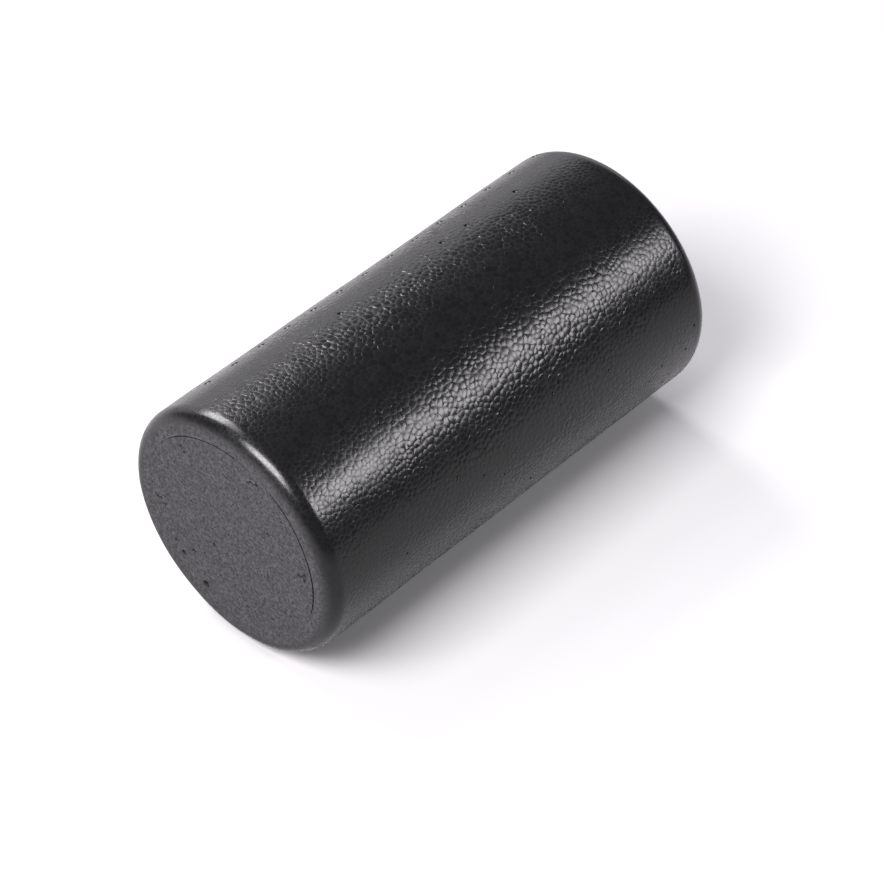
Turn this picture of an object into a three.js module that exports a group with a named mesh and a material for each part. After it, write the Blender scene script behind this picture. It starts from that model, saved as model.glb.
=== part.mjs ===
// Foam roller: a firm, closed-cell foam cylinder lying on its side, 12 in long and 6 in across.
// It is an outer sleeve with rounded shoulders, bonded over a solid inner core whose flat ends lie
// flush with the sleeve's. Millimetres, +Z up. The roller's axis runs along X, its middle is over the
// origin, and the surface that it rests on is at Z = 0.

import * as THREE from "three";

// ---- driving dimensions, in mm ----
const LENGTH = 304.8;
const DIAMETER = 152.4;
const SHOULDER_RADIUS = 9.6; // rounding between the side and each end face
const CORE_DIAMETER = 124.8; // the joint line that shows as a ring on each end face
const JOINT_GAP = 0.3; // clearance between the core and the sleeve's bore

// ---- resolution ----
const SIDES = 96; // facets round the axis; a multiple of 4, so that a flat one lies on the ground
const SHOULDER_STEPS = 8; // straight steps in each rounded shoulder

// ---- worked out from the dimensions above ----
const HALF_LENGTH = LENGTH / 2;
const RADIUS = DIAMETER / 2;
const CORE_RADIUS = CORE_DIAMETER / 2;
const BORE_RADIUS = CORE_RADIUS + JOINT_GAP;
const HALF_FACET = Math.PI / SIDES;
const QUARTER_TURN = Math.PI / 2;

// A point of a lathe outline. The middle of each facet, rather than its edges, lies at the stated
// radius, so that the solid measures exactly its diameter across opposite facets.
function outlinePoint(radius, along) {
  return new THREE.Vector2(radius / Math.cos(HALF_FACET), along);
}

// The quarter circle of one rounded shoulder, from the angle start to start + 90 degrees.
// side is +1 for the shoulder at the outline's upper end and -1 for the lower one.
function shoulderArc(side, start) {
  const centreRadius = RADIUS - SHOULDER_RADIUS;
  const centreAlong = side * (HALF_LENGTH - SHOULDER_RADIUS);
  const points = [];
  for (let step = 0; step <= SHOULDER_STEPS; step += 1) {
    const angle = start + (QUARTER_TURN * step) / SHOULDER_STEPS;
    const radius = centreRadius + SHOULDER_RADIUS * Math.cos(angle);
    const along = centreAlong + SHOULDER_RADIUS * Math.sin(angle);
    points.push(outlinePoint(radius, along));
  }
  return points;
}

// Turns an outline about the roller's axis, with one flat facet facing straight down.
function turned(outline) {
  const geometry = new THREE.LatheGeometry(outline, SIDES, HALF_FACET);
  geometry.rotateZ(-QUARTER_TURN);
  return geometry;
}

// The sleeve's outline closes on itself: the bore, then both shoulders from end face to end face.
function sleeveOutline() {
  const outline = [
    outlinePoint(BORE_RADIUS, -HALF_LENGTH),
    ...shoulderArc(-1, -QUARTER_TURN),
    ...shoulderArc(1, 0),
    outlinePoint(BORE_RADIUS, HALF_LENGTH),
  ];
  outline.push(outline[0].clone());
  return outline;
}

// The core's outline starts and ends on the axis.
function coreOutline() {
  return [
    new THREE.Vector2(0, -HALF_LENGTH),
    outlinePoint(CORE_RADIUS, -HALF_LENGTH),
    outlinePoint(CORE_RADIUS, HALF_LENGTH),
    new THREE.Vector2(0, HALF_LENGTH),
  ];
}

const glossySkin = new THREE.MeshStandardMaterial({ color: 0x2b2a2c, roughness: 0.35, metalness: 0 });
const matteFoam = new THREE.MeshStandardMaterial({ color: 0x4a484b, roughness: 0.85, metalness: 0 });

function piece(name, geometry, material) {
  const mesh = new THREE.Mesh(geometry, material);
  mesh.name = name;
  mesh.position.z = RADIUS;
  return mesh;
}

const roller = new THREE.Group();
roller.name = "foam_roller";
roller.add(piece("outer_sleeve", turned(sleeveOutline()), glossySkin));
roller.add(piece("inner_core", turned(coreOutline()), matteFoam));

export default roller;
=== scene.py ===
"""A firm bead-foam roller lying on a pale studio floor.

Both CAD solids are replaced by detailed bodies. The sleeve's glossy skin is built bead by bead: each bead
is a plate with its own tilt, and fine grooves part the plates. The matte end faces show the same beads in
lower relief, with moulding marks and pits. Lengths are in metres, but for the few that are marked as mm.
The angles of marks and of the joint are in degrees, counted about the roller's axis from +Y towards +Z.
"""

import math
from collections import namedtuple

import bpy
import numpy as np
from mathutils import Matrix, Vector
from mathutils.geometry import delaunay_2d_cdt


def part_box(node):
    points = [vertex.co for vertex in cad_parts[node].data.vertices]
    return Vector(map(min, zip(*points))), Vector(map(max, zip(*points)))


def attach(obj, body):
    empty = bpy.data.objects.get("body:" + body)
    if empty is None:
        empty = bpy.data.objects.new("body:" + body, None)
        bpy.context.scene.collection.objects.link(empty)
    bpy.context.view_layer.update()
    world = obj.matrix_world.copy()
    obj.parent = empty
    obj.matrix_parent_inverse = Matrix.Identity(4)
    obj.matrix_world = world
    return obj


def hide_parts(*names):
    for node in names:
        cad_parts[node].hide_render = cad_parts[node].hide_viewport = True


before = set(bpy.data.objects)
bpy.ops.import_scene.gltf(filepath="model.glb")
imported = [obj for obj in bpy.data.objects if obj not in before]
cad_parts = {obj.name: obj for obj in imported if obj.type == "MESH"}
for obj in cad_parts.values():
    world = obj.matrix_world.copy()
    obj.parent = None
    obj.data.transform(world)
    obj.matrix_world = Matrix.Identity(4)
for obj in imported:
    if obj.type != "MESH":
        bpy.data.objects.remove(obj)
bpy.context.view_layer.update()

MM = 0.001
FULL_TURN = 2 * math.pi
SEED = 12
random = np.random.default_rng(SEED)

# ---- sizes from the frame ----
SLEEVE_LOW, SLEEVE_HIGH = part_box("outer_sleeve")
CORE_LOW, CORE_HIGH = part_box("inner_core")
HALF_LENGTH = (SLEEVE_HIGH.x - SLEEVE_LOW.x) / 2
RADIUS = (SLEEVE_HIGH.y - SLEEVE_LOW.y) / 2
CORE_RADIUS = (CORE_HIGH.y - CORE_LOW.y) / 2
AXIS_HEIGHT = (SLEEVE_HIGH.z + SLEEVE_LOW.z) / 2
SHOULDER_RADIUS = 9.6 * MM
JOINT_GAP = 0.3 * MM
BORE_RADIUS = CORE_RADIUS + JOINT_GAP

# ---- the band that is bent round into the sleeve's outside, from bore edge to bore edge ----
END_BAND = RADIUS - SHOULDER_RADIUS - BORE_RADIUS
SHOULDER_ARC = SHOULDER_RADIUS * math.pi / 2
BAND_LENGTH = 2 * (END_BAND + SHOULDER_ARC + HALF_LENGTH - SHOULDER_RADIUS)
GIRTH = FULL_TURN * RADIUS

# ---- the pattern of beads ----
SKIN_PITCH = 3.55 * MM  # from bead to bead midway along the side
SHOULDER_PITCH = 3.1 * MM  # from bead to bead near the shoulders
PITCH_FALL = (45 * MM, 115 * MM)  # it falls over this stretch, counted from the roller's middle
FACE_PITCH = 2.7 * MM  # from bead to bead on the end faces
ROW_SPACING = math.sqrt(3) / 2  # from row to row, as a share of the pitch
JITTER = 0.4  # how far a bead strays from an even pattern, as a share of the pitch
MISSING = 0.15  # share of places left to the neighbours, which grow into them
SHORTEST_EDGE = 0.6 * MM  # of an outline; corners that are closer are joined
RIM_CLEARANCE = 0.3 * FACE_PITCH  # the staggered rows on an end face stay this far inside its rim
COPY_MARGIN = 14 * MM  # beads this close to a pattern's edge are copied beyond it
SLIP = 1e-7  # keeps four mirrored beads from lying on one exact circle
ON_EDGE = 1e-6  # a corner this close to a pattern's edge is on it
ROUND_EDGE = 0.15 * MM  # corners on a round edge lie up to this far outside it
SAME_PLACE = 1e-9  # points this close together are one
TINY = 1e-12  # a length that stands in for none, so that nothing is divided by zero

# ---- the shape of a bead ----
GROOVE_DEPTH = 0.135 * MM
GROOVE_RANGE = (0.6, 1.5)  # least and greatest depth of a groove's corners, as shares of the usual one
SKIN_GROOVE = 0.72 * MM  # width of the grooves on the sleeve, to either side of their bottom
FACE_GROOVE = 0.5 * MM  # and on the end faces
WIDEST_INSET = 0.42  # share of the way from a bead's edge to its middle that a groove takes at most
VOID_DEPTH = 0.4 * MM  # extra depth of the few grooves' corners that are left open
FACE_VOIDS = 0.05  # share of the corners on the end faces that are left open
TILT = 0.022  # how far a bead's plate leans, in radians
DEEPEST_SINK = 0.04  # mm that a bead's plate lies under the true surface at most, marks apart
SKIN_DOME = 0.09  # how far the normals at a plate's edge lean outwards, on the sleeve
FACE_DOME = 0.1  # and on the end faces
EDGE_GROOVE = 0.3  # how much of a groove's painted shade and duller gloss the patches' own edges have
WALL_SHADE_TONE = -1.0  # marks the joint's walls, which are painted dark as shade in the joint, where beads have a tone from 0 to 1

# ---- how strong the relief is ----
SIDE_RELIEF = 0.95
SHOULDER_LOSS = 0.37  # how much less it is near the shoulders
SHOULDER_FALL = (55 * MM, 115 * MM)  # it falls over this stretch, counted from the roller's middle
END_LOSS = 0.93  # share of what is left that the flat end bands lack
END_FALL = (HALF_LENGTH - 1.3 * SHOULDER_RADIUS, HALF_LENGTH - 0.8 * SHOULDER_RADIUS)  # and over this one
FACE_RELIEF = 0.6
USUAL_SHARE = 0.92  # the patches of stronger and weaker relief vary round this share of it
LEAST_SHARE = 0.5
MOST_SHARE = 1.25
# waves that make these patches: length in mm, and height as a share of the relief
PATCH_WAVES = ((52, 0.07), (37, 0.07), (26, 0.06), (19, 0.05))
# waves that make swells in the moulded surface: length in mm, height in mm
SWELL_WAVES = ((90, 0.056), (62, 0.042), (41, 0.032), (33, 0.025), (24, 0.016), (17, 0.011))
WAVES_OF_EACH = 3
SWELLS_LOWERED = 0.28  # mm, so that they all but never rise above the true surface

# ---- the joint between sleeve and core, at both ends ----
WANDER_INWARDS = 0.7  # mm that it strays inwards from its circle on average
WANDER = 0.3  # mm more or less than that, from one side to the other
WANDER_LEAST_AT = 60  # the angle where it strays least
WANDER_REACH = 0.7  # share of the core's radius from which its face follows the joint
# stretches that stand open: how far, as a share, then the angles between which each opens and closes
OPEN_STRETCHES = ((0.65, (42, 54), (94, 108)), (1, (117, 128), (180, 204)))
OPENING = 0.32 * MM  # how far each rim draws back where the joint is open
CLOSING = 0.35 * JOINT_GAP  # how far each rim moves towards the other where it is closed
RIM_DROP = 0.02  # mm that a rim is eased down everywhere
OPEN_DROP = 0.2  # mm more where the joint is open

# ---- moulding marks on the side ----
VENT_PITCH = 20 * MM
VENT_RADIUS = 2.2 * MM
# rows of vents: their angles, their places in steps of the pitch, the row's shift along X, the radius
VENT_ROWS = (
    ((51, 231), range(-6, 8), 1.5 * MM, VENT_RADIUS),
    ((71, 251), (-2, 2, 3, 5), -1 * MM, 0.8 * VENT_RADIUS),
)
# single pits: X in mm, angle
SIDE_PITS = (
    (112, 185), (119, 200), (139, 175), (133, 186), (68, 166), (103, 190), (-20, 178), (5, 195),
    (-53, 163), (25, 158), (-35, 171), (-96, 181), (-74, 316), (41, 333), (88, 298), (-8, 305),
)
PIT_RADIUS = 0.9 * MM
SIDE_MARK_DEPTH = 1.0 * MM

# ---- moulding marks on the end faces ----
# single pits: distance from the axis in mm, angle, radius in mm
FACE_PITS = (
    (54, -45, 1.9), (43, -46, 1.5), (20, -49, 1.3), (25, -41, 0.9), (37, 143, 1.0), (56, -67, 2.5),
    (54, -36, 1.1), (47, -103, 1.0), (43, 89, 0.9), (30, 14, 0.8), (12, 200, 0.8),
)
FAR_PITS_TURNED = 97  # the far face has the same pits, turned by this angle
FACE_PIT_DEPTH = 2.2 * MM
# vent patches, a sixth of a turn apart, but for one that the largest pit takes the place of
VENT_PATCHES = (-9, 51, 111, 171, 231)
PATCH_DISTANCE = 54.3 * MM
PATCH_RADIUS = 3.9 * MM
PATCH_SUNKEN = 0.42  # share of a patch's beads that are sunk
PATCH_DEPTHS = (0.9, 1.2)  # mm

# ---- the ring of beads round a mark, whose radius is twice the mark's ----
RING_PITCH = 0.85  # from bead to bead, as a share of the usual pitch
RING_CLEARANCE = 0.5  # least distance to the beads outside it, likewise
FEWEST_IN_RING = 5

# The beads of a patch, in the plane. seeds holds their places, and depths how far each is sunk. The
# outlines are laid end to end: for each of their corners in turn, bead is the number of its seed and
# corner its number in corners. on_edge tells which of corners are on the patch's own edge. girth is the
# length round a band that closes on itself, and None for a flat patch.
Pattern = namedtuple("Pattern", "seeds depths corners bead corner on_edge girth")

# How a patch's beads are made. flipped is set where the surface mirrors the plane.
Finish = namedtuple("Finish", "flipped groove_width void_share dome")


# ======================================================================================
# Bead pattern in the plane
# ======================================================================================

def staggered_points(width, height, pitch_at):
    """Beads in staggered rows over a rectangle, each moved a little at random, and some left out.
    pitch_at gives the pitch of the row at each place along the width."""
    rows = []
    margin = pitch_at(0) / 4
    x = pitch_at(0) / 2
    while x < width - pitch_at(width) / 4:
        pitch = pitch_at(x)
        columns = round(height / pitch)
        start = 0.25 + 0.5 * (len(rows) % 2)  # in steps: every second row lies half a step further on
        y = (np.arange(columns) + start) * height / columns
        row = np.stack([np.full(columns, x), y], -1)
        rows.append(row + random.uniform(-JITTER, JITTER, row.shape) * pitch)
        x += pitch * ROW_SPACING
    points = np.concatenate(rows)
    points[:, 0] = np.clip(points[:, 0], margin, width - margin)
    return points[random.random(len(points)) > MISSING]


def around(offsets, girth):
    """Offsets along a band that closes on itself, taken the short way round."""
    if girth:
        offsets = offsets.copy()
        offsets[:, 1] = (offsets[:, 1] + girth / 2) % girth - girth / 2
    return offsets


def add_marks(points, marks, pitch, girth=None):
    """Clears a round place for each mark, (centre, radius, depth), with one bead for its floor and a ring
    of beads outside, so that the groove between them is a circle. Returns the points and their depths."""
    depths = np.zeros(len(points))
    for centre, radius, depth in marks:
        centre = np.array(centre)
        ring_radius = 2 * radius
        distance = np.linalg.norm(around(points - centre, girth), axis=1)
        kept = distance > ring_radius + RING_CLEARANCE * pitch
        ring_count = max(FEWEST_IN_RING, round(FULL_TURN * ring_radius / (RING_PITCH * pitch)))
        turns = (np.arange(ring_count) + random.random()) * FULL_TURN / ring_count
        ring = centre + ring_radius * np.stack([np.cos(turns), np.sin(turns)], -1)
        points = np.concatenate([points[kept], [centre], ring])
        depths = np.concatenate([depths[kept], [depth], np.zeros(ring_count)])
    return points, depths


def circle_centres(corners):
    """Centres of the circles through each triangle's three corners."""
    first = corners[:, 0]
    b = corners[:, 1] - first
    c = corners[:, 2] - first
    twice = 2 * (b[:, 0] * c[:, 1] - b[:, 1] * c[:, 0])
    b_squared = (b ** 2).sum(1)
    c_squared = (c ** 2).sum(1)
    x = (c[:, 1] * b_squared - b[:, 1] * c_squared) / twice
    y = (b[:, 0] * c_squared - c[:, 0] * b_squared) / twice
    return first + np.stack([x, y], -1)


def bead_outlines(points, owner, count):
    """The outlines of the first count points' beads, each round the places that are nearer to its point
    than to any other. owner has a number for each point, which its copies across the seam of a closed band
    share. Returns corners, bead and corner, as in Pattern."""
    flat = [Vector(point) for point in points]
    _, _, faces, sources = delaunay_2d_cdt(flat, [], [], 0, SAME_PLACE)[:4]
    source = np.array([group[0] for group in sources])
    triangles = source[np.array([tuple(face) for face in faces])]
    centres = circle_centres(points[triangles])
    keys = np.sort(owner[triangles], axis=1)
    _, first, corner = np.unique(keys, axis=0, return_index=True, return_inverse=True)
    bead = triangles.reshape(-1)
    corner = np.repeat(corner.reshape(-1), 3)
    offset = np.repeat(centres, 3, axis=0) - points[bead]
    own = bead < count
    turn = np.arctan2(offset[own, 1], offset[own, 0])
    order = np.lexsort((turn, bead[own]))
    return centres[first], bead[own][order], corner[own][order]


def following(bead):
    """For outlines laid end to end, where each starts, and for each entry the next of its own outline."""
    starts = np.flatnonzero(np.r_[True, bead[1:] != bead[:-1]])
    nexts = np.arange(1, len(bead) + 1)
    nexts[np.r_[starts[1:], len(bead)] - 1] = starts
    return starts, nexts


def join_close_corners(corners, bead, corner, girth, on_edge):
    """Joins corners that are closer than the shortest edge. One on the patch's edge keeps its place."""
    _, nexts = following(bead)
    length = np.linalg.norm(around(corners[corner] - corners[corner[nexts]], girth), axis=1)
    root = np.arange(len(corners))

    def top(k):
        while root[k] != k:
            root[k] = root[root[k]]
            k = root[k]
        return k

    for k in np.flatnonzero(length < SHORTEST_EDGE):
        a, b = top(corner[k]), top(corner[nexts[k]])
        if a != b:
            kept, lost = (b, a) if on_edge[b] else (a, b)
            root[lost] = kept
    corner = np.array([top(k) for k in range(len(corners))])[corner]
    while True:
        _, nexts = following(bead)
        distinct = corner != corner[nexts]
        if distinct.all():
            return bead, corner
        bead, corner = bead[distinct], corner[distinct]


# ======================================================================================
# Surfaces: from the plane to the roller
# ======================================================================================

def smooth_step(value, low, high):
    share = np.clip((value - low) / (high - low), 0, 1)
    return share * share * (3 - 2 * share)


def joint_wander(turn):
    """How far the joint strays outwards at each angle about the axis, given in radians."""
    return (WANDER * np.cos(turn - math.radians(WANDER_LEAST_AT)) - WANDER_INWARDS) * MM


def band_surface(points):
    """The sleeve's outside, for points (along the band, round the girth): their places, and for each the
    directions along the band, round the girth and outwards, as the rows of a matrix."""
    far = points[:, 0] > BAND_LENGTH / 2
    along = np.where(far, BAND_LENGTH - points[:, 0], points[:, 0])
    bend = np.clip((along - END_BAND) / SHOULDER_RADIUS, 0, math.pi / 2)
    straight = np.maximum(along - END_BAND - SHOULDER_ARC, 0)
    turn = points[:, 1] / RADIUS
    radius = BORE_RADIUS + np.minimum(along, END_BAND) + SHOULDER_RADIUS * np.sin(bend)
    radius += joint_wander(turn) * (1 - np.minimum(along / END_BAND, 1))
    end = np.where(far, 1, -1)
    x = end * (HALF_LENGTH - SHOULDER_RADIUS * (1 - np.cos(bend)) - straight)
    place = np.stack([x, radius * np.cos(turn), AXIS_HEIGHT + radius * np.sin(turn)], -1)
    rise = -end * np.cos(bend)
    directions = np.stack([
        np.sin(bend), rise * np.cos(turn), rise * np.sin(turn),
        0 * turn, -np.sin(turn), np.cos(turn),
        end * np.cos(bend), np.sin(bend) * np.cos(turn), np.sin(bend) * np.sin(turn),
    ], -1)
    return place, directions.reshape(-1, 3, 3)


def face_surface(end):
    """The core's end face at X = end * HALF_LENGTH, as band_surface, for points (y, height over axis)."""
    def surface(points):
        distance = np.linalg.norm(points, axis=1)
        turn = np.arctan2(points[:, 1], points[:, 0])
        shift = joint_wander(turn) * smooth_step(distance, WANDER_REACH * CORE_RADIUS, CORE_RADIUS)
        y, height = (points * (1 + shift / np.maximum(distance, MM))[:, None]).T
        place = np.stack([np.full(len(points), end * HALF_LENGTH), y, AXIS_HEIGHT + height], -1)
        directions = np.array([[0, 1, 0], [0, 0, 1], [end, 0, 0]], float)
        return place, np.tile(directions, (len(points), 1, 1))
    return surface


def random_waves(lengths_and_heights):
    """Several waves through space in random directions for each length in mm, as (how fast the wave's
    phase changes along x, y and z, its phase at the origin, its height)."""
    waves = []
    for length, height in lengths_and_heights * WAVES_OF_EACH:
        direction = random.normal(size=3)
        pace = direction / np.linalg.norm(direction) * FULL_TURN / (length * MM)
        waves.append((pace, random.uniform(0, FULL_TURN), height))
    return waves


def sum_of(waves, place):
    return sum(height * np.sin(place @ pace + phase) for pace, phase, height in waves)


SWELLS = random_waves(SWELL_WAVES)
PATCHES = random_waves(PATCH_WAVES)


def unevenness(place):
    """Gentle swells in the moulded surface, which all but never rise above its true size."""
    return (sum_of(SWELLS, place) - SWELLS_LOWERED) * MM


def patchiness(place):
    """Share of the full relief. In some patches the beads are pressed smoother than in others."""
    return np.clip(USUAL_SHARE + sum_of(PATCHES, place), LEAST_SHARE, MOST_SHARE)


def skin_relief(place):
    """Full relief along the side, less towards the shoulders, and little on the end bands."""
    x = np.abs(place[:, 0])
    side = SIDE_RELIEF - SHOULDER_LOSS * smooth_step(x, *SHOULDER_FALL)
    on_side = 1 - END_LOSS * smooth_step(x, *END_FALL)
    return side * on_side * patchiness(place)


def face_relief(place):
    return FACE_RELIEF * patchiness(place)


def joint_rim(outwards):
    """Forms one rim of the joint between sleeve and core. Some stretches stand open, with both rims eased
    down and drawn back. On the others the rims lie close together. outwards is 1 for the core's rim, -1
    for the sleeve's."""
    def shape(place):
        turn = np.arctan2(place[:, 2] - AXIS_HEIGHT, place[:, 1])
        angle = np.degrees(turn) % 360
        opened = sum(
            share * smooth_step(angle, *opens) * (1 - smooth_step(angle, *closes))
            for share, opens, closes in OPEN_STRETCHES
        )
        closing = outwards * (CLOSING * (1 - opened) - OPENING * opened)
        drop = (RIM_DROP + OPEN_DROP * opened) * MM
        return place + np.stack(
            [-np.sign(place[:, 0]) * drop, closing * np.cos(turn), closing * np.sin(turn)], -1
        )
    return shape


# ======================================================================================
# From outlines to a body
# ======================================================================================

class Body:
    """A closed mesh that is put together from patches, with its own normal at each face corner."""

    def __init__(self):
        self.vertices, self.groove, self.depth = [], [], []
        self.faces, self.normals, self.tone = [], [], []
        self.count = 0

    def add_vertices(self, places, groove, depth):
        """Adds vertices, and returns the number of the first."""
        self.vertices.append(places)
        self.groove.append(groove)
        self.depth.append(depth)
        self.count += len(places)
        return self.count - len(places)

    def add_faces(self, faces, normals, tone):
        self.faces.extend(faces)
        self.normals.append(normals)
        self.tone.append(tone)

    def make(self, name, material):
        mesh = bpy.data.meshes.new(name)
        mesh.from_pydata(np.concatenate(self.vertices).tolist(), [], self.faces)
        mesh.shade_smooth()
        for label, domain, parts in (
            ("groove", "POINT", self.groove), ("depth", "POINT", self.depth), ("tone", "FACE", self.tone)
        ):
            values = np.concatenate(parts).astype(np.float32)
            mesh.attributes.new(label, "FLOAT", domain).data.foreach_set("value", values)
        mesh.normals_split_custom_set(np.concatenate(self.normals).tolist())
        mesh.materials.append(material)
        piece = bpy.data.objects.new(name, mesh)
        bpy.context.scene.collection.objects.link(piece)
        return piece


def unit(vectors):
    return vectors / np.maximum(np.linalg.norm(vectors, axis=-1, keepdims=True), TINY)


def with_upright(slope):
    return np.concatenate([slope, np.ones((len(slope), 1))], 1)


def from_frame(vectors, frames):
    """Unit vectors in space from vectors given along each frame's three directions."""
    return unit(np.einsum("ij,ijk->ik", unit(vectors), frames))


def draw_in(offset, starts, nexts, order, groove_width):
    """For outlines laid end to end, each one's middle, and counted from it the outline's corners and those
    of the bead's plate. The plate is the outline drawn in by the groove's width and rounded a little."""
    counts = np.bincount(order)
    middle = np.add.reduceat(offset, starts) / counts[:, None]
    spoke = offset - middle[order]
    edge = spoke[nexts] - spoke
    area = np.add.reduceat(spoke[:, 0] * spoke[nexts, 1] - spoke[nexts, 0] * spoke[:, 1], starts) / 2
    inner_radius = 2 * area / np.add.reduceat(np.linalg.norm(edge, axis=1), starts)
    inset = np.minimum(groove_width / inner_radius, WIDEST_INSET)
    reach = np.linalg.norm(spoke, axis=1)
    mean_reach = np.add.reduceat(reach, starts) / counts
    plate = spoke * ((1 - inset[order]) * np.sqrt(mean_reach[order] / reach))[:, None]
    return middle, spoke, plate


def add_beads(body, pattern, surface, relief, rim_shape, finish):
    """Adds a patch of beads. relief gives each place's share of the full relief, and rim_shape forms the
    patch's own edge. Returns the vertices on that edge."""
    seeds, depths, corners, bead, corner, on_edge, girth = pattern
    starts, nexts = following(bead)
    counts = np.diff(np.r_[starts, len(bead)])
    order = np.repeat(np.arange(len(starts)), counts)
    which = bead[starts]
    offset = around(corners[corner] - seeds[bead], girth)
    middle, spoke, plate = draw_in(offset, starts, nexts, order, finish.groove_width)

    # the plates, each at its own height and tilt over the true surface
    share = relief(surface(seeds[which] + middle)[0])
    tilt = random.normal(0, TILT, (len(which), 2)) * share[:, None]
    sink = random.uniform(0, DEEPEST_SINK, len(which)) * MM * share + depths[which]
    plate_height = (plate * tilt[order]).sum(1) - sink[order]
    plate_place, plate_frame = surface(seeds[bead] + middle[order] + plate)
    plate_place += plate_frame[:, 2] * (plate_height + unevenness(plate_place))[:, None]

    # the bottoms of the grooves, and the patch's own edge
    used, corner_index = np.unique(corner, return_inverse=True)
    at_edge = on_edge[used]
    corner_place, corner_frame = surface(corners[used])
    deep = GROOVE_DEPTH * random.uniform(*GROOVE_RANGE, len(used)) * relief(corner_place)
    deep += VOID_DEPTH * (random.random(len(used)) < finish.void_share)
    corner_height = np.where(at_edge, 0, -deep)
    corner_place += corner_frame[:, 2] * (corner_height + unevenness(corner_place))[:, None]
    corner_place[at_edge] = rim_shape(corner_place[at_edge])

    # normals in the plane's own terms: the grooves' walls lean towards the next bead, and plates are domed
    reach = np.linalg.norm(spoke, axis=1)
    across = (corner_height[corner_index] - plate_height) / np.linalg.norm(spoke - plate, axis=1)
    wall = with_upright(-across[:, None] * spoke / reach[:, None])
    rounded = with_upright(finish.dome * share[order, None] * spoke / reach[:, None] - tilt[order])
    wall_foot = from_frame(wall, corner_frame[corner_index])
    wall_head = from_frame(rounded + wall, plate_frame)
    plate_rim = from_frame(rounded, plate_frame)

    groove = np.where(at_edge, EDGE_GROOVE, 1)
    first_corner = body.add_vertices(corner_place, groove, np.zeros(len(used)))
    # the plates' depth in mm also sets how much painted shade the material gives a sunk bead
    first_plate = body.add_vertices(plate_place, np.zeros(len(bead)), depths[bead] / MM)
    corner_id = first_corner + corner_index
    plate_id = first_plate + np.arange(len(bead))
    tone = random.random(len(which))
    walls = np.stack([corner_id, corner_id[nexts], plate_id[nexts], plate_id], -1)
    normals = np.stack([wall_foot, wall_foot[nexts], wall_head[nexts], wall_head], 1)
    plates = [np.arange(start, start + count) for start, count in zip(starts, counts)]
    if finish.flipped:
        walls, normals = walls[:, ::-1], normals[:, ::-1]
        plates = [entries[::-1] for entries in plates]
    body.add_faces(walls.tolist(), normals.reshape(-1, 3), tone[order])
    plate_faces = [plate_id[entries].tolist() for entries in plates]
    body.add_faces(plate_faces, plate_rim[np.concatenate(plates)], tone)
    return first_corner + np.flatnonzero(at_edge)


def add_wall(body, rims, outward):
    """Joins two rims, lists of vertices round the axis, with the plain wall between them. The triangles
    step along whichever rim's next vertex comes first. outward tells which way the wall faces."""
    places = np.concatenate(body.vertices)
    turns, loops = [], []
    for rim in rims:
        turn = np.arctan2(places[rim, 2] - AXIS_HEIGHT, places[rim, 1])
        order = np.argsort(turn)
        loops.append(np.asarray(rim)[order])
        turns.append(turn[order])
    (near, far), (near_turn, far_turn) = loops, turns
    i = j = 0
    faces = []
    while i < len(near) or j < len(far):
        next_near = near_turn[(i + 1) % len(near)] + FULL_TURN * ((i + 1) // len(near))
        next_far = far_turn[(j + 1) % len(far)] + FULL_TURN * ((j + 1) // len(far))
        here, there = near[i % len(near)], far[j % len(far)]
        if j == len(far) or (i < len(near) and next_near <= next_far):
            i += 1
            face = (here, near[i % len(near)], there)
        else:
            j += 1
            face = (here, far[j % len(far)], there)
        faces.append([int(v) for v in (face if outward else face[::-1])])
    radial = places[np.array(faces).reshape(-1)] * [0, 1, 1] - [0, 0, AXIS_HEIGHT]
    normals = unit(radial) * (1 if outward else -1)
    # the walls are marked for painted shade: the material colours them dark all over
    body.add_faces(faces, normals, np.full(len(faces), WALL_SHADE_TONE))


# ======================================================================================
# The sleeve
# ======================================================================================

def side_marks():
    """Vent marks in rows along the roller, and single pits, as ((along the band, round it), radius,
    depth)."""
    places = []
    for angles, steps, shift, radius in VENT_ROWS:
        places += [(step * VENT_PITCH + shift, angle, radius) for angle in angles for step in steps]
    places += [(x * MM, angle, PIT_RADIUS) for x, angle in SIDE_PITS]
    for x, angle, radius in places:
        yield (BAND_LENGTH / 2 + x, math.radians(angle % 360) * RADIUS), radius, SIDE_MARK_DEPTH


def skin_pitch(along):
    """The beads are smaller towards the shoulders."""
    from_middle = abs(along - BAND_LENGTH / 2)
    return SKIN_PITCH + (SHOULDER_PITCH - SKIN_PITCH) * smooth_step(from_middle, *PITCH_FALL)


def sleeve_pattern():
    """Beads over the whole band. Copies of those near its sides carry the pattern on round the roller,
    and mirrored copies beyond its ends make the outlines there end in a straight line."""
    points = staggered_points(BAND_LENGTH, GIRTH, skin_pitch)
    points, depths = add_marks(points, side_marks(), SKIN_PITCH, GIRTH)
    points[:, 1] %= GIRTH
    count = len(points)
    owner = np.arange(count)
    low = points[:, 1] < COPY_MARGIN
    high = points[:, 1] > GIRTH - COPY_MARGIN
    all_points = np.concatenate([points, points[low] + [0, GIRTH], points[high] - [0, GIRTH]])
    all_owners = np.concatenate([owner, owner[low], owner[high]])
    slip = SLIP * random.random(count)[all_owners]
    near = all_points[:, 0] < COPY_MARGIN
    far = all_points[:, 0] > BAND_LENGTH - COPY_MARGIN
    near_copies = np.stack([-all_points[near, 0], all_points[near, 1] + slip[near]], -1)
    far_copies = np.stack([2 * BAND_LENGTH - all_points[far, 0], all_points[far, 1] + slip[far]], -1)
    corners, bead, corner = bead_outlines(
        np.concatenate([all_points, near_copies, far_copies]),
        np.concatenate([all_owners, count + all_owners[near], 2 * count + all_owners[far]]),
        count,
    )
    at_near = np.abs(corners[:, 0]) < ON_EDGE
    at_far = np.abs(corners[:, 0] - BAND_LENGTH) < ON_EDGE
    corners[at_near, 0] = 0
    corners[at_far, 0] = BAND_LENGTH
    on_edge = at_near | at_far
    bead, corner = join_close_corners(corners, bead, corner, GIRTH, on_edge)
    return Pattern(points, depths, corners, bead, corner, on_edge, GIRTH)


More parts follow.
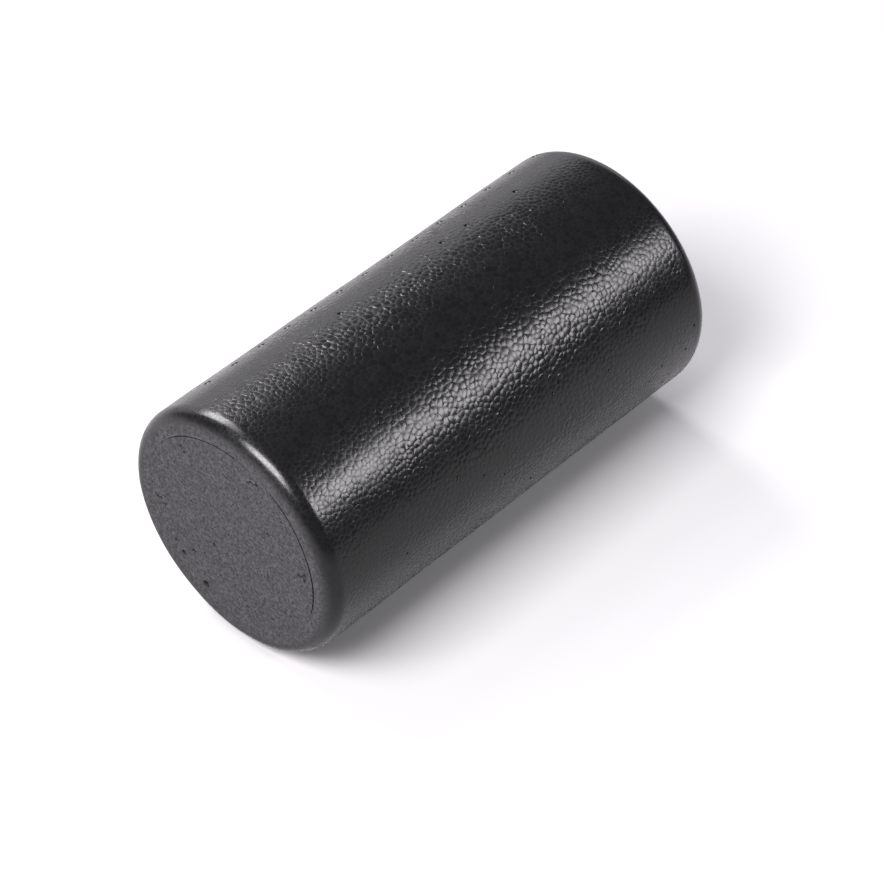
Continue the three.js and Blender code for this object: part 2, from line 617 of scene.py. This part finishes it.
def sleeve(material):
    body = Body()
    finish = Finish(flipped=True, groove_width=SKIN_GROOVE, void_share=0.0, dome=SKIN_DOME)
    rim = add_beads(body, sleeve_pattern(), band_surface, skin_relief, joint_rim(-1), finish)
    x = np.concatenate(body.vertices)[rim, 0]
    add_wall(body, (rim[x < 0], rim[x > 0]), outward=False)
    return body.make("bead_sleeve", material)


# ======================================================================================
# The core
# ======================================================================================

def round_axis(distance, degrees):
    """The place in an end face at this distance from the axis, and at this angle."""
    angle = math.radians(degrees)
    return distance * np.array([math.cos(angle), math.sin(angle)])


def face_marks(end):
    """A few single pits, as ((y, height over axis), radius, depth)."""
    for distance, degrees, radius in FACE_PITS:
        turned = degrees if end < 0 else degrees + FAR_PITS_TURNED
        yield round_axis(distance * MM, turned), radius * MM, FACE_PIT_DEPTH


def sink_patches(points, depths):
    """Sinks some of the beads in each vent patch, all to one depth."""
    for degrees in VENT_PATCHES:
        near = np.linalg.norm(points - round_axis(PATCH_DISTANCE, degrees), axis=1) < PATCH_RADIUS
        depth = random.uniform(*PATCH_DEPTHS) * MM
        depths[near & (random.random(len(points)) < PATCH_SUNKEN)] = depth


def face_pattern(end):
    """Beads over one end face. Mirrored copies beyond its rim make the outlines there end on a circle."""
    width = 2 * CORE_RADIUS
    points = staggered_points(width, width, lambda along: FACE_PITCH) - CORE_RADIUS
    points = points[np.linalg.norm(points, axis=1) < CORE_RADIUS - RIM_CLEARANCE]
    points, depths = add_marks(points, face_marks(end), FACE_PITCH)
    sink_patches(points, depths)
    count = len(points)
    distance = np.linalg.norm(points, axis=1)
    outer = distance > CORE_RADIUS - COPY_MARGIN
    mirrored = points[outer] * (2 * CORE_RADIUS / distance[outer] - 1)[:, None]
    mirrored += SLIP * random.random((outer.sum(), 1))
    corners, bead, corner = bead_outlines(
        np.concatenate([points, mirrored]),
        np.concatenate([np.arange(count), count + np.flatnonzero(outer)]),
        count,
    )
    distance = np.linalg.norm(corners, axis=1)
    on_edge = (distance > CORE_RADIUS - ON_EDGE) & (distance < CORE_RADIUS + ROUND_EDGE)
    corners[on_edge] *= (CORE_RADIUS / distance[on_edge])[:, None]
    bead, corner = join_close_corners(corners, bead, corner, None, on_edge)
    return Pattern(points, depths, corners, bead, corner, on_edge, None)


def core(material):
    body = Body()
    rims = []
    for end in (-1, 1):
        finish = Finish(flipped=end < 0, groove_width=FACE_GROOVE, void_share=FACE_VOIDS, dome=FACE_DOME)
        pattern = face_pattern(end)
        rims.append(add_beads(body, pattern, face_surface(end), face_relief, joint_rim(1), finish))
    add_wall(body, rims, outward=True)
    return body.make("foam_core", material)


# ======================================================================================
# Nodes
# ======================================================================================

# sockets of the Mix node when it mixes colours: its factor and the two colours, and the mixed one
COLOUR_MIX_INPUTS = (0, 6, 7)
COLOUR_MIX_OUTPUT = 2
TINT = 0.03


def add_node(tree, kind, inputs=None, **settings):
    """A new node, with its settings and its inputs, each a value or another node's output."""
    node = tree.nodes.new(kind)
    for name, value in settings.items():
        setattr(node, name, value)
    for name, value in (inputs or {}).items():
        feed(tree, node.inputs[name], value)
    return node


def feed(tree, socket, value):
    """Links a socket to another node's output, or sets it to a value."""
    if isinstance(value, bpy.types.NodeSocket):
        tree.links.new(value, socket)
    else:
        socket.default_value = value


def math_of(tree, operation, *values):
    node = add_node(tree, "ShaderNodeMath", dict(enumerate(values)), operation=operation)
    return node.outputs[0]


def noise(tree, place, size, detail=2.0):
    """Noise whose features are about size across."""
    inputs = {"Vector": place, "Scale": 1 / size, "Detail": detail}
    return add_node(tree, "ShaderNodeTexNoise", inputs).outputs["Fac"]


def distance_to_spots(tree, place, spacing):
    """Distance to the nearest of many scattered points, in metres."""
    node = add_node(tree, "ShaderNodeTexVoronoi", {"Vector": place, "Scale": 1 / spacing})
    return math_of(tree, "MULTIPLY", node.outputs["Distance"], spacing)


def spread(tree, value, low, high, from_low=0.0, from_high=1.0):
    """Takes value from one range to another, and holds it inside the new one."""
    inputs = {
        "Value": value, "From Min": from_low, "From Max": from_high, "To Min": low, "To Max": high,
    }
    return add_node(tree, "ShaderNodeMapRange", inputs).outputs["Result"]


def blend_colours(tree, share, first, second):
    """The first colour where share is 0, and the second where it is 1."""
    node = add_node(tree, "ShaderNodeMix", data_type="RGBA")
    for number, value in zip(COLOUR_MIX_INPUTS, (share, first, second)):
        feed(tree, node.inputs[number], value)
    return node.outputs[COLOUR_MIX_OUTPUT]


def attribute(tree, name):
    return add_node(tree, "ShaderNodeAttribute", attribute_name=name).outputs["Fac"]


def grey(level):
    """A dark grey with a trace of violet."""
    return (level, level * (1 - TINT), level * (1 + TINT), 1)


# ======================================================================================
# Materials
# ======================================================================================

FOAM_IOR = 1.33

# ---- sizes of what shows in the foam ----
BLOTCH_SIZE = 9 * MM
MOTTLE_SIZE = 1.7 * MM
SPECK_SIZE = 1.6 * MM
GRAIN_SIZE = 0.35 * MM
PINHOLE_SPACING = 3.4 * MM
PINHOLE_RADII = (0.45 * MM, 0.95 * MM)  # from where it is deepest to where it ends
MIDDLE_OF_NOISE = (0.35, 0.65)  # most of a noise's values lie in this range
SPECK_LEVELS = (0.57, 0.68)  # levels of noise at which a dark speck begins and is full

# ---- the rubbed, matte foam: its colours and its painted shades, and the share of each where it is strongest ----
MOTTLE_DARK = grey(0.0175)
MOTTLE_PALE = grey(0.0515)
BLOTCH_COLOUR = grey(0.02)
BLOTCH_SHARE = 0.3
SPECK_COLOUR = grey(0.01)
SPECK_SHARE = 0.9
# painted shade in the pinholes
PINHOLE_SHADE = grey(0.006)
PINHOLE_SHARE = 0.8
# painted shade in the grooves between beads
GROOVE_SHADE = grey(0.02)
GROOVE_SHADE_SHARE = 0.35
MATTE_ROUGHNESS = (0.72, 0.9)
MATTE_BUMP = 0.8
BUMP_HEIGHT = 0.12 * MM
MOTTLE_IN_BUMP = 0.6
GRAIN_IN_BUMP = 0.4

# ---- the glossy skin ----
SKIN_DARK = grey(0.0023)
SKIN_PALE = grey(0.0035)
SKIN_ROUGHNESS = (0.19, 0.25)
GLOSS_LEVELS = (0.3, 0.7)  # levels of noise between which the roughness goes from least to most
BEAD_ROUGHNESS = (-0.01, 0.02)  # how much a bead's own tone adds
GROOVE_ROUGHNESS = 0.1
SKIN_BUMP = 0.12

# ---- painted shade in pits and sunk beads, and on the joint's walls ----
HOLLOW_SHADE = grey(0.003)
PIT_SHADE_SHARE = 0.9  # share of this painted shade for each mm that a bead is sunk

# ---- the shoulder, where the skin is rubbed matte ----
MATTE_UP_TO = RADIUS - SHOULDER_RADIUS
GLOSSY_FROM = RADIUS - 2.4 * MM
RAGGED_SIZE = 5 * MM
RAGGED = 0.9 * MM  # how far that border strays to either side
RUBBED_POWER = 1.6

# ---- the floor ----
FLOOR_DARK = (0.32, 0.32, 0.32, 1)
FLOOR_PALE = (0.34, 0.34, 0.34, 1)
FLOOR_PATCH_SIZE = 0.6
FLOOR_ROUGHNESS = 0.9
FLOOR_SPECULAR = 0.1


def new_material(name):
    material = bpy.data.materials.new(name)
    material.use_nodes = True
    tree = material.node_tree
    tree.nodes.clear()
    shader = add_node(tree, "ShaderNodeBsdfPrincipled", {"IOR": FOAM_IOR})
    output = add_node(tree, "ShaderNodeOutputMaterial", {"Surface": shader.outputs[0]})
    output.is_active_output = True
    return material, tree, shader


def rubbed_colour_and_shade(tree, place, blotches, mottle, pinholes, groove):
    """Finely mottled grey with blotches and dark specks, and painted shade in the pinholes and grooves."""
    specks = spread(tree, noise(tree, place, SPECK_SIZE, detail=1.0), 0, SPECK_SHARE, *SPECK_LEVELS)
    blotched = spread(tree, blotches, 0, BLOTCH_SHARE, *MIDDLE_OF_NOISE)
    # painted shade: the grooves are darkened towards their bottoms
    groove_shade = math_of(tree, "MULTIPLY", groove, GROOVE_SHADE_SHARE)
    colour = blend_colours(tree, spread(tree, mottle, 0, 1, *MIDDLE_OF_NOISE), MOTTLE_DARK, MOTTLE_PALE)
    colour = blend_colours(tree, blotched, colour, BLOTCH_COLOUR)
    colour = blend_colours(tree, specks, colour, SPECK_COLOUR)
    # painted shade: the pinholes are darkened, as well as sunk in the bump
    colour = blend_colours(tree, pinholes, colour, PINHOLE_SHADE)
    return blend_colours(tree, groove_shade, colour, GROOVE_SHADE)


def skin_roughness(tree, blotches, tone, groove):
    """A little different from place to place and from bead to bead, and duller in the grooves."""
    gloss = spread(tree, blotches, *SKIN_ROUGHNESS, *GLOSS_LEVELS)
    gloss = math_of(tree, "ADD", gloss, spread(tree, tone, *BEAD_ROUGHNESS))
    return math_of(tree, "ADD", gloss, math_of(tree, "MULTIPLY", groove, GROOVE_ROUGHNESS))


def foam_finish_and_shade(tree, shader, place, matte=None):
    """The rubbed matte finish of the end faces, with painted shade in grooves, pinholes and sunk beads
    and on the joint's walls. Where matte is given, it blends that finish with the glossy moulded skin,
    which shows alone where matte is 0."""
    groove = attribute(tree, "groove")
    depth = attribute(tree, "depth")
    tone = attribute(tree, "tone")
    blotches = noise(tree, place, BLOTCH_SIZE)
    mottle = noise(tree, place, MOTTLE_SIZE, detail=3.0)
    grain = noise(tree, place, GRAIN_SIZE, detail=3.0)
    to_spot = distance_to_spots(tree, place, PINHOLE_SPACING)
    pinholes = spread(tree, to_spot, PINHOLE_SHARE, 0, *PINHOLE_RADII)

    colour = rubbed_colour_and_shade(tree, place, blotches, mottle, pinholes, groove)
    rough = spread(tree, mottle, *MATTE_ROUGHNESS)
    strength = MATTE_BUMP
    if matte is not None:
        skin = blend_colours(tree, tone, SKIN_DARK, SKIN_PALE)
        colour = blend_colours(tree, matte, skin, colour)
        gloss = skin_roughness(tree, blotches, tone, groove)
        duller = math_of(tree, "MULTIPLY", matte, math_of(tree, "SUBTRACT", rough, gloss))
        rough = math_of(tree, "ADD", gloss, duller)
        strength = spread(tree, matte, SKIN_BUMP, MATTE_BUMP)
        pinholes = math_of(tree, "MULTIPLY", pinholes, matte)
    # painted shade: sunk beads, in marks, pits and vent patches, are darker the deeper they lie
    colour = blend_colours(tree, math_of(tree, "MULTIPLY", depth, PIT_SHADE_SHARE), colour, HOLLOW_SHADE)
    # painted shade: the joint's walls, marked by their tone, are coloured dark all over
    colour = blend_colours(tree, spread(tree, tone, 1, 0, WALL_SHADE_TONE, 0), colour, HOLLOW_SHADE)
    feed(tree, shader.inputs["Base Color"], colour)
    feed(tree, shader.inputs["Roughness"], rough)

    coarse = math_of(tree, "MULTIPLY", mottle, MOTTLE_IN_BUMP)
    fine = math_of(tree, "MULTIPLY", grain, GRAIN_IN_BUMP)
    height = math_of(tree, "SUBTRACT", math_of(tree, "ADD", coarse, fine), pinholes)
    inputs = {"Height": height, "Strength": strength, "Distance": BUMP_HEIGHT}
    feed(tree, shader.inputs["Normal"], add_node(tree, "ShaderNodeBump", inputs).outputs["Normal"])


def skin_material():
    """Glossy on the side and most of each shoulder, matte on the flat end bands."""
    material, tree, shader = new_material("bead_skin")
    place = add_node(tree, "ShaderNodeTexCoord").outputs["Object"]
    parts = add_node(tree, "ShaderNodeSeparateXYZ", {"Vector": place}).outputs
    height = math_of(tree, "SUBTRACT", parts["Z"], AXIS_HEIGHT)
    y_squared = math_of(tree, "MULTIPLY", parts["Y"], parts["Y"])
    height_squared = math_of(tree, "MULTIPLY", height, height)
    off_axis = math_of(tree, "SQRT", math_of(tree, "ADD", y_squared, height_squared))
    ragged = spread(tree, noise(tree, place, RAGGED_SIZE), -RAGGED, RAGGED)
    border = math_of(tree, "ADD", off_axis, ragged)
    rubbed = spread(tree, border, 1, 0, MATTE_UP_TO, GLOSSY_FROM)
    foam_finish_and_shade(tree, shader, place, math_of(tree, "POWER", rubbed, RUBBED_POWER))
    return material


def face_material():
    material, tree, shader = new_material("matte_foam")
    place = add_node(tree, "ShaderNodeTexCoord").outputs["Object"]
    foam_finish_and_shade(tree, shader, place)
    return material


def floor_material():
    """A pale, very slightly uneven painted floor."""
    material, tree, shader = new_material("pale_floor")
    place = add_node(tree, "ShaderNodeTexCoord").outputs["Object"]
    colour = blend_colours(tree, noise(tree, place, FLOOR_PATCH_SIZE), FLOOR_DARK, FLOOR_PALE)
    feed(tree, shader.inputs["Base Color"], colour)
    feed(tree, shader.inputs["Roughness"], FLOOR_ROUGHNESS)
    feed(tree, shader.inputs["Specular IOR Level"], FLOOR_SPECULAR)
    return material


# ======================================================================================
# Studio
# ======================================================================================

CENTRE = Vector((0, 0, AXIS_HEIGHT))
FLOOR_SIZE = 12.0
LIGHT_TINT = (1, 0.967, 1)
# name, direction from the roller, distance, width and height, brightness
SOFTBOXES = (
    ("side_softbox", (0.465, -0.68, 0.50), 1.7, (0.72, 0.39), 23.5),
    ("end_softbox", (-0.64, -0.055, 0.765), 1.7, (1.0, 0.78), 38),
    ("back_softbox", (0.07, 0.75, 0.655), 1.8, (0.98, 0.70), 25),
    ("joining_softbox", (-0.03, 0.50, 0.865), 1.8, (0.75, 0.30), 9),
    ("white_wall", (0.53, 0.85, 0.22), 3.0, (5.0, 1.4), 1.25),
)
ROOM_COLOUR = (0.97, 0.98, 1.15, 1)
ROOM_BRIGHTNESS = 0.22

CAMERA_AZIMUTH = -46.7  # degrees from -Y, about Z
CAMERA_ELEVATION = 42.84  # degrees
CAMERA_DISTANCE = 1.9208  # from the roller's middle
AIM_RIGHT = 0.00845  # from the roller's middle, as the camera sees it
AIM_DOWN = 0.0263
LENS = 141.43  # mm
SENSOR_WIDTH = 36  # mm
NEAREST_SEEN = 0.05


def floor():
    half = FLOOR_SIZE / 2
    corners = [(-half, -half, 0), (half, -half, 0), (half, half, 0), (-half, half, 0)]
    mesh = bpy.data.meshes.new("floor")
    mesh.from_pydata(corners, [], [(0, 1, 2, 3)])
    mesh.materials.append(floor_material())
    piece = bpy.data.objects.new("floor", mesh)
    bpy.context.scene.collection.objects.link(piece)


def softbox(name, direction, distance, size, brightness):
    """A flat panel of light that faces the roller. brightness is how bright its face is."""
    data = bpy.data.lights.new(name, "AREA")
    data.shape = "RECTANGLE"
    width, height = size
    data.size = width
    data.size_y = height
    data.energy = brightness * math.pi * width * height
    data.color = LIGHT_TINT
    lamp = bpy.data.objects.new(name, data)
    direction = Vector(direction).normalized()
    lamp.location = CENTRE + direction * distance
    lamp.rotation_euler = direction.to_track_quat("Z", "Y").to_euler()
    bpy.context.scene.collection.objects.link(lamp)


def room():
    """The dim, slightly blue light that comes from all round."""
    world = bpy.data.worlds.new("dim_room")
    world.use_nodes = True
    background = world.node_tree.nodes["Background"]
    background.inputs["Color"].default_value = ROOM_COLOUR
    background.inputs["Strength"].default_value = ROOM_BRIGHTNESS
    bpy.context.scene.world = world


def studio():
    floor()
    for panel in SOFTBOXES:
        softbox(*panel)
    room()
    bpy.context.scene.view_settings.view_transform = "Standard"


def camera():
    """From over the near end, looking down along the roller."""
    azimuth = math.radians(CAMERA_AZIMUTH)
    elevation = math.radians(CAMERA_ELEVATION)
    level = math.cos(elevation)
    back = Vector((math.sin(azimuth) * level, -math.cos(azimuth) * level, math.sin(elevation)))
    right = Vector((math.cos(azimuth), math.sin(azimuth), 0))
    up = back.cross(right)
    place = CENTRE + back * CAMERA_DISTANCE
    aim = CENTRE + right * AIM_RIGHT - up * AIM_DOWN
    data = bpy.data.cameras.new("camera")
    data.lens = LENS
    data.sensor_width = SENSOR_WIDTH
    data.clip_start = NEAREST_SEEN
    eye = bpy.data.objects.new("camera", data)
    eye.location = place
    eye.rotation_euler = (aim - place).to_track_quat("-Z", "Y").to_euler()
    bpy.context.scene.collection.objects.link(eye)
    bpy.context.scene.camera = eye


# ======================================================================================

camera()
studio()
for piece, node, slot in (
    (sleeve(skin_material()), "outer_sleeve", "bead_skin"),
    (core(face_material()), "inner_core", "matte_foam"),
):
    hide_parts(node)
    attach(piece, "root")
